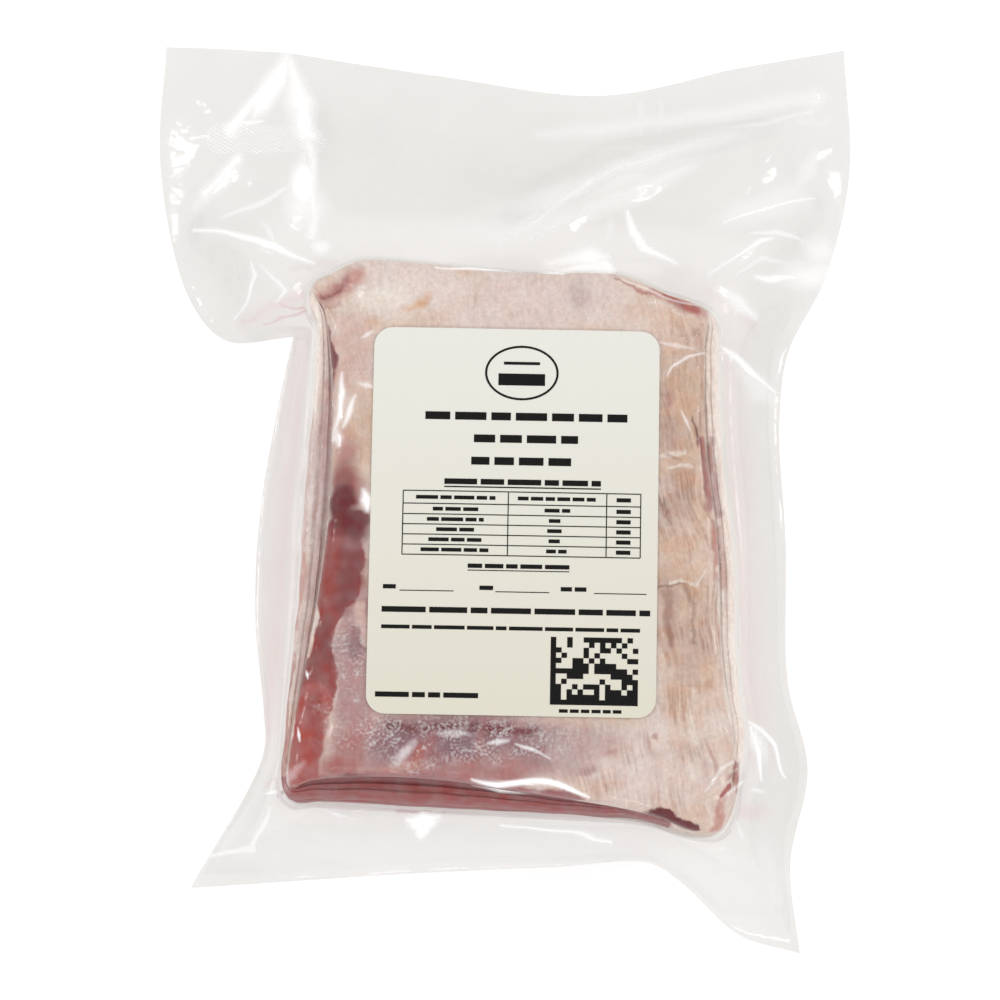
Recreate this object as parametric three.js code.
// A vacuum bag of raw pork loin, lying on its flat underside with its label up.
// The loin was cut into slabs, which were stacked and sealed in a clear bag. The film clings to the
// stack and runs out round it as a thin, wavy sheet: a long flap behind, narrow borders elsewhere.
// Millimetres, +X to the right, +Y towards the long flap, +Z up, origin under the middle of the bag.

import * as THREE from 'three';

// The stack of slabs
const SLAB_COUNT = 4;
const SLAB_THICKNESS = 13.5;
const STACK_HEIGHT = SLAB_COUNT * SLAB_THICKNESS;
const STACK_MIDDLE = { x: 4, y: -13 };
const CROWN = { drop: 1.4, halfWidth: 50, halfLength: 70 };
const EDGE_ROUNDING = 3.6;
const FOOT_ROUNDING = 4;
// How far the middle of a rounded edge lies inside the square corner, as a share of its radius
const MIDDLE_OF_ROUND = 1 - Math.SQRT1_2;
// Rings of points on the top face and on the foot, as shares of the way out from the middle
const TOP_ROWS = [0.4, 0.68, 0.85, 0.95, 1];
const FOOT_ROWS = [1, 0.6];
const GROOVE_DEPTH = 1.6;
const SLAB_EDGE_ROUNDING = 1.1;
// How far each slab stands out, from the top one down, as a share of the stack's lean at that place
const SLAB_STANDS_OUT = [0, 0.96, 1, 0.6];
// Rows of points down the side of each slab, as shares of its thickness
const SLAB_ROWS = [[0.45, 0.84], [0.16, 0.55], [0.45, 0.84], [0.16, 0.55]];
// Low places and lumps of the top slab: middle, reach and height
const TOP_RELIEF = [
  { x: 60, y: -92, reach: 15, height: -7 },
  { x: -50, y: 57, reach: 12, height: -5 },
  { x: 56, y: 50, reach: 12, height: -4 },
  { x: -42, y: -12, reach: 13, height: -1.6 },
  { x: -6, y: -76, reach: 12, height: 0.9 },
  { x: 30, y: -77, reach: 11, height: 0.8 },
  { x: 51, y: -25, reach: 9, height: 0.7 },
  { x: -20, y: 57, reach: 12, height: 0.7 },
];

// The film
const SEAM_LEVEL = 2 * SLAB_THICKNESS;
const FILM_THICKNESS = 0.8;
// Where the two sheets leave the stack they are this far apart, and they close over this distance
const WEB_GAP = 4.5;
const WEB_REACH = 5;
const FILM_STANDS_OFF = 0.5;
// Folds are at their full height up to this share of the way out, and fade at both ends
const FOLDS_FADE_AFTER = 0.9;
const STATION_PITCH = 7.6;
const BORDER_ROWS = [0.07, 0.17, 0.3, 0.44, 0.58, 0.72, 0.86, 1];

// Where the outline turns, anticlockwise from the front left corner. Each entry pairs a point on the
// top slab's edge with the point of the film's edge outside it: x, y and how far the lower slabs lean
// out there, then x, y and the height of the film's edge. The film's edge is sharp at a corner.
const TURNS = [
  { loin: [-55.5, -79.5, 3.5], film: [-85.6, -105.6, 3], corner: true },
  { loin: [-49, -78, 5], film: [-64, -104.2, 4] },
  { loin: [-24, -77.4, 7], film: [-24, -101.6, 6] },
  { loin: [14, -82.4, 4], film: [15, -99.8, 6] },
  { loin: [40, -87.2, 1.2], film: [41.5, -98.8, 5] },
  { loin: [51, -91.2, 0.6], film: [50.5, -104.4, 4] },
  { loin: [58.5, -90.8, 1], film: [66, -118.4, 2.4] },
  { loin: [60.8, -86.5, 1.8], film: [82.9, -123.5, 1.6], corner: true },
  { loin: [61.4, -77, 3.4], film: [80.4, -99, 3.4] },
  { loin: [62, -66, 4.2], film: [85.3, -73, 6] },
  { loin: [59.2, -47, 5.4], film: [79.7, -49, 10] },
  { loin: [58, -14, 5.8], film: [79.4, -12, 13] },
  { loin: [55.2, 13, 5.8], film: [78.2, 24, 12] },
  { loin: [55.4, 40, 5], film: [81, 43.5, 11] },
  { loin: [56.4, 48, 3.4], film: [91.6, 64.6, 12] },
  { loin: [52, 50.9, 3], film: [98.6, 94, 15] },
  { loin: [45.5, 52.6, 3], film: [97.4, 129.4, 17], corner: true },
  { loin: [32, 57.8, 3], film: [68.5, 126.6, 9] },
  { loin: [6, 58.2, 3], film: [29, 119.4, 6] },
  { loin: [-20, 60.8, 3], film: [-18, 124.7, 8] },
  { loin: [-38, 62, 3], film: [-66, 131, 10] },
  { loin: [-44, 59.9, 3], film: [-94.8, 131.2, 15], corner: true },
  { loin: [-50.5, 56.6, 2.6], film: [-96.2, 96, 12] },
  { loin: [-50.4, 53.8, 2.6], film: [-87.4, 58.6, 9] },
  { loin: [-49.2, 51.8, 2.8], film: [-77, 47.2, 10] },
  { loin: [-47.6, 48.2, 3.4], film: [-57.8, 47.8, 14], corner: true },
  { loin: [-45.2, 29, 6.4], film: [-61.8, 29.4, 12] },
  { loin: [-45.4, 0, 8.6], film: [-66.9, -2, 11] },
  { loin: [-48.6, -30, 7], film: [-67.8, -31, 12] },
  { loin: [-53.6, -57, 4.6], film: [-65.2, -57, 12] },
  { loin: [-55.6, -70, 3.4], film: [-65.4, -69, 9] },
];

// Broad folds of the film: both ends, half width and height
const FOLDS = [
  { from: [-59, 122], to: [-53, 82], width: 9, height: 5 },
  { from: [-83, 76], to: [-50, 65], width: 6.5, height: 4 },
  { from: [0, 68], to: [36, 92], width: 8, height: 4.5 },
  { from: [36, 92], to: [72, 101], width: 8, height: 3 },
  { from: [58, 60], to: [86, 83], width: 7.5, height: 4.5 },
  { from: [65, -62], to: [75, -80], width: 6.5, height: 3 },
  { from: [-72, -92], to: [-58, -96], width: 6, height: 2.4 },
  { from: [-40, -88], to: [-37, -100], width: 6, height: 2 },
];

// The label, turned a little on the pack
const LABEL = { width: 76, length: 103, radius: 5, x: 3.7, y: -9.8, turn: -0.018 };
const LABEL_THICKNESS = 0.4;
const LABEL_LIFT = 0.35;
const LABEL_ROWS = [0.35, 0.62, 0.85, 1];
const LABEL_CORNER_STEPS = 5;
const LABEL_SIDE_STEPS = { across: 6, along: 8 };

// Smooth shapes that the surfaces are made of
const smooth = (t) => t * t * (3 - 2 * t);
const mix = (a, b, t) => a + (b - a) * t;
const bump = (distance, reach) => Math.exp(-((distance / reach) ** 2));

// How far the point x, y is from the line that runs between two points
function distanceToLine(x, y, [x0, y0], [x1, y1]) {
  const length2 = (x1 - x0) ** 2 + (y1 - y0) ** 2;
  const along = THREE.MathUtils.clamp(((x - x0) * (x1 - x0) + (y - y0) * (y1 - y0)) / length2, 0, 1);
  return Math.hypot(x - mix(x0, x1, along), y - mix(y0, y1, along));
}

// Height of the top slab's upper face, before its edge is rounded off
function topHeight(x, y) {
  const across = (x - STACK_MIDDLE.x) / CROWN.halfWidth;
  const along = (y - STACK_MIDDLE.y) / CROWN.halfLength;
  let z = STACK_HEIGHT - CROWN.drop * (across ** 4 + along ** 4) / 2;
  for (const place of TOP_RELIEF) {
    z += place.height * bump(Math.hypot(x - place.x, y - place.y), place.reach);
  }
  return z;
}

// Height that the broad folds add to the film's border
function foldHeight(x, y) {
  let height = 0;
  for (const fold of FOLDS) {
    height += fold.height * bump(distanceToLine(x, y, fold.from, fold.to), fold.width);
  }
  return height;
}

// The outlines as smooth curves, read by a place that counts the turns
const loinCurve = new THREE.CatmullRomCurve3(TURNS.map((t) => new THREE.Vector3(...t.loin)), true);
const cornerPlaces = TURNS.flatMap((turn, place) => (turn.corner ? [place] : []));
const filmCurves = cornerPlaces.map((start, i) => {
  const next = cornerPlaces[(i + 1) % cornerPlaces.length];
  const span = (next - start + TURNS.length) % TURNS.length;
  const turns = Array.from({ length: span + 1 }, (_, k) => TURNS[(start + k) % TURNS.length]);
  return { start, span, curve: new THREE.CatmullRomCurve3(turns.map((t) => new THREE.Vector3(...t.film))) };
});

function filmEdge(place) {
  const piece = filmCurves.findLast(({ start }) => start <= place);
  return piece.curve.getPoint((place - piece.start) / piece.span);
}

// Places round the pack, evenly spaced along the film's edge between one turn and the next
function stationPlaces() {
  const places = [];
  TURNS.forEach((turn, i) => {
    const next = TURNS[(i + 1) % TURNS.length];
    const gap = Math.hypot(next.film[0] - turn.film[0], next.film[1] - turn.film[1]);
    const steps = Math.max(2, Math.round(gap / STATION_PITCH));
    for (let k = 0; k < steps; k += 1) places.push(i + k / steps);
  });
  return places;
}

// One station: the top slab's edge, the way out from it, the lean and the film's edge
function station(place) {
  const edge = loinCurve.getPoint(place / TURNS.length);
  const tangent = loinCurve.getTangent(place / TURNS.length);
  const length = Math.hypot(tangent.x, tangent.y);
  const out = { x: tangent.y / length, y: -tangent.x / length };
  const beside = (distance, z) => new THREE.Vector3(edge.x + out.x * distance, edge.y + out.y * distance, z);
  return { edge, beside, lean: edge.z, film: filmEdge(place), top: topHeight(edge.x, edge.y) };
}

// A point of the film's border, at a share of the way out to its edge: side is 1 on top and -1 below
function borderPoint({ beside, lean, film }, share, side) {
  const slabBeside = side > 0 ? 1 : 2;
  const root = beside(lean * SLAB_STANDS_OUT[slabBeside] + FILM_STANDS_OFF, SEAM_LEVEL);
  const x = mix(root.x, film.x, share);
  const y = mix(root.y, film.y, share);
  const reach = Math.hypot(x - root.x, y - root.y);
  const folds = foldHeight(x, y) * Math.sqrt(Math.sin(Math.PI * Math.min(share, FOLDS_FADE_AFTER)));
  const middle = mix(SEAM_LEVEL, film.z, smooth(share)) + folds;
  const gap = FILM_THICKNESS + WEB_GAP * Math.exp(-reach / WEB_REACH);
  return new THREE.Vector3(x, y, middle + side * gap / 2);
}

// The side of slab number k is rounded at its rims, and a groove parts it from the next one down
function slabPoint({ beside, lean, top }, k, share) {
  const roundedOff = SLAB_EDGE_ROUNDING * Math.abs(2 * share - 1) ** 3;
  return beside(lean * SLAB_STANDS_OUT[k] - roundedOff, top * (1 - (k + share) / SLAB_COUNT));
}
function groovePoint({ beside, lean, top }, k) {
  const standsOut = Math.min(SLAB_STANDS_OUT[k], SLAB_STANDS_OUT[k + 1]);
  return beside(lean * standsOut - GROOVE_DEPTH, top * (1 - (k + 1) / SLAB_COUNT));
}

// A ring of the top face, drawn in from the top slab's edge towards the middle
function topFacePoint({ beside }, share) {
  const rim = beside(-EDGE_ROUNDING, 0);
  const x = mix(STACK_MIDDLE.x, rim.x, share);
  const y = mix(STACK_MIDDLE.y, rim.y, share);
  return new THREE.Vector3(x, y, topHeight(x, y));
}

function footPoint({ beside, lean }, share) {
  const rim = beside(lean * SLAB_STANDS_OUT[SLAB_COUNT - 1] - FOOT_ROUNDING, 0);
  return new THREE.Vector3(mix(STACK_MIDDLE.x, rim.x, share), mix(STACK_MIDDLE.y, rim.y, share), 0);
}

// A closed body from rings of points: the first and last rings close on a middle point
function skin(first, rings, last) {
  const points = [first, ...rings.flat(), last];
  const count = rings[0].length;
  const at = (ring, i) => 1 + ring * count + (i % count);
  const faces = [];
  for (let i = 0; i < count; i += 1) {
    faces.push(0, at(0, i), at(0, i + 1));
    for (let ring = 0; ring < rings.length - 1; ring += 1) {
      faces.push(at(ring, i), at(ring + 1, i), at(ring + 1, i + 1));
      faces.push(at(ring, i), at(ring + 1, i + 1), at(ring, i + 1));
    }
    faces.push(points.length - 1, at(rings.length - 1, i + 1), at(rings.length - 1, i));
  }
  const geometry = new THREE.BufferGeometry().setFromPoints(points);
  geometry.setIndex(faces);
  geometry.computeVertexNormals();
  return geometry;
}

// The bag with the stack in it, from the middle of its top round to the middle of its foot
function bagGeometry() {
  const stations = stationPlaces().map(station);
  const ring = (row) => stations.map(row);
  const inRound = EDGE_ROUNDING * MIDDLE_OF_ROUND;
  const slab = (k) => SLAB_ROWS[k].map((share) => ring((s) => slabPoint(s, k, share)));
  const rings = [
    ...TOP_ROWS.map((share) => ring((s) => topFacePoint(s, share))),
    ring((s) => s.beside(-inRound, s.top - inRound)),
    ...slab(0),
    ring((s) => groovePoint(s, 0)),
    ...slab(1),
    ...BORDER_ROWS.map((share) => ring((s) => borderPoint(s, share, 1))),
    ...BORDER_ROWS.toReversed().map((share) => ring((s) => borderPoint(s, share, -1))),
    ...slab(2),
    ring((s) => groovePoint(s, 2)),
    ...slab(3),
    ...FOOT_ROWS.map((share) => ring((s) => footPoint(s, share))),
  ];
  const { x, y } = STACK_MIDDLE;
  return skin(new THREE.Vector3(x, y, topHeight(x, y)), rings, new THREE.Vector3(x, y, 0));
}

// The label's outline, anticlockwise from its lower right corner: an arc, then the straight run after it
function labelOutline() {
  const { width, length, radius } = LABEL;
  const { across, along } = LABEL_SIDE_STEPS;
  const arcs = [[1, -1], [1, 1], [-1, 1], [-1, -1]].map(([sideX, sideY], quarter) => {
    const middle = new THREE.Vector2(sideX * (width / 2 - radius), sideY * (length / 2 - radius));
    return Array.from({ length: LABEL_CORNER_STEPS + 1 }, (_, k) => {
      const angle = (quarter - 1 + k / LABEL_CORNER_STEPS) * Math.PI / 2;
      return new THREE.Vector2(Math.cos(angle), Math.sin(angle)).multiplyScalar(radius).add(middle);
    });
  });
  return arcs.flatMap((arc, quarter) => {
    const next = arcs[(quarter + 1) % arcs.length][0];
    const steps = quarter % 2 === 0 ? along : across;
    const run = Array.from({ length: steps - 1 }, (_, k) => arc.at(-1).clone().lerp(next, (k + 1) / steps));
    return [...arc, ...run];
  });
}

// The label bends with the pack: a thin sheet that follows the top face at a small distance
function labelGeometry() {
  const outline = labelOutline();
  const place = (point, share, lift) => {
    const turned = point.clone().multiplyScalar(share).rotateAround(new THREE.Vector2(), LABEL.turn);
    const x = LABEL.x + turned.x;
    const y = LABEL.y + turned.y;
    return new THREE.Vector3(x, y, topHeight(x, y) + lift);
  };
  const under = LABEL_LIFT;
  const over = LABEL_LIFT + LABEL_THICKNESS;
  const rings = [
    ...LABEL_ROWS.map((share) => outline.map((point) => place(point, share, over))),
    ...LABEL_ROWS.toReversed().map((share) => outline.map((point) => place(point, share, under))),
  ];
  const middle = new THREE.Vector2();
  return skin(place(middle, 0, over), rings, place(middle, 0, under));
}

// The origin lies under the middle of the bag's box
function underMiddle(geometry) {
  geometry.computeBoundingBox();
  const middle = geometry.boundingBox.getCenter(new THREE.Vector3());
  return new THREE.Vector3(-middle.x, -middle.y, -geometry.boundingBox.min.z);
}

const filmOverPork = new THREE.MeshStandardMaterial({ color: 0xd2b4a6, roughness: 0.32, metalness: 0 });
const labelPaper = new THREE.MeshStandardMaterial({ color: 0xe6e4da, roughness: 0.6, metalness: 0 });

const bag = new THREE.Mesh(bagGeometry(), filmOverPork);
bag.name = 'bag';
const label = new THREE.Mesh(labelGeometry(), labelPaper);
label.name = 'label';

const group = new THREE.Group();
group.add(bag, label);
group.position.copy(underMiddle(bag.geometry));

export default group;
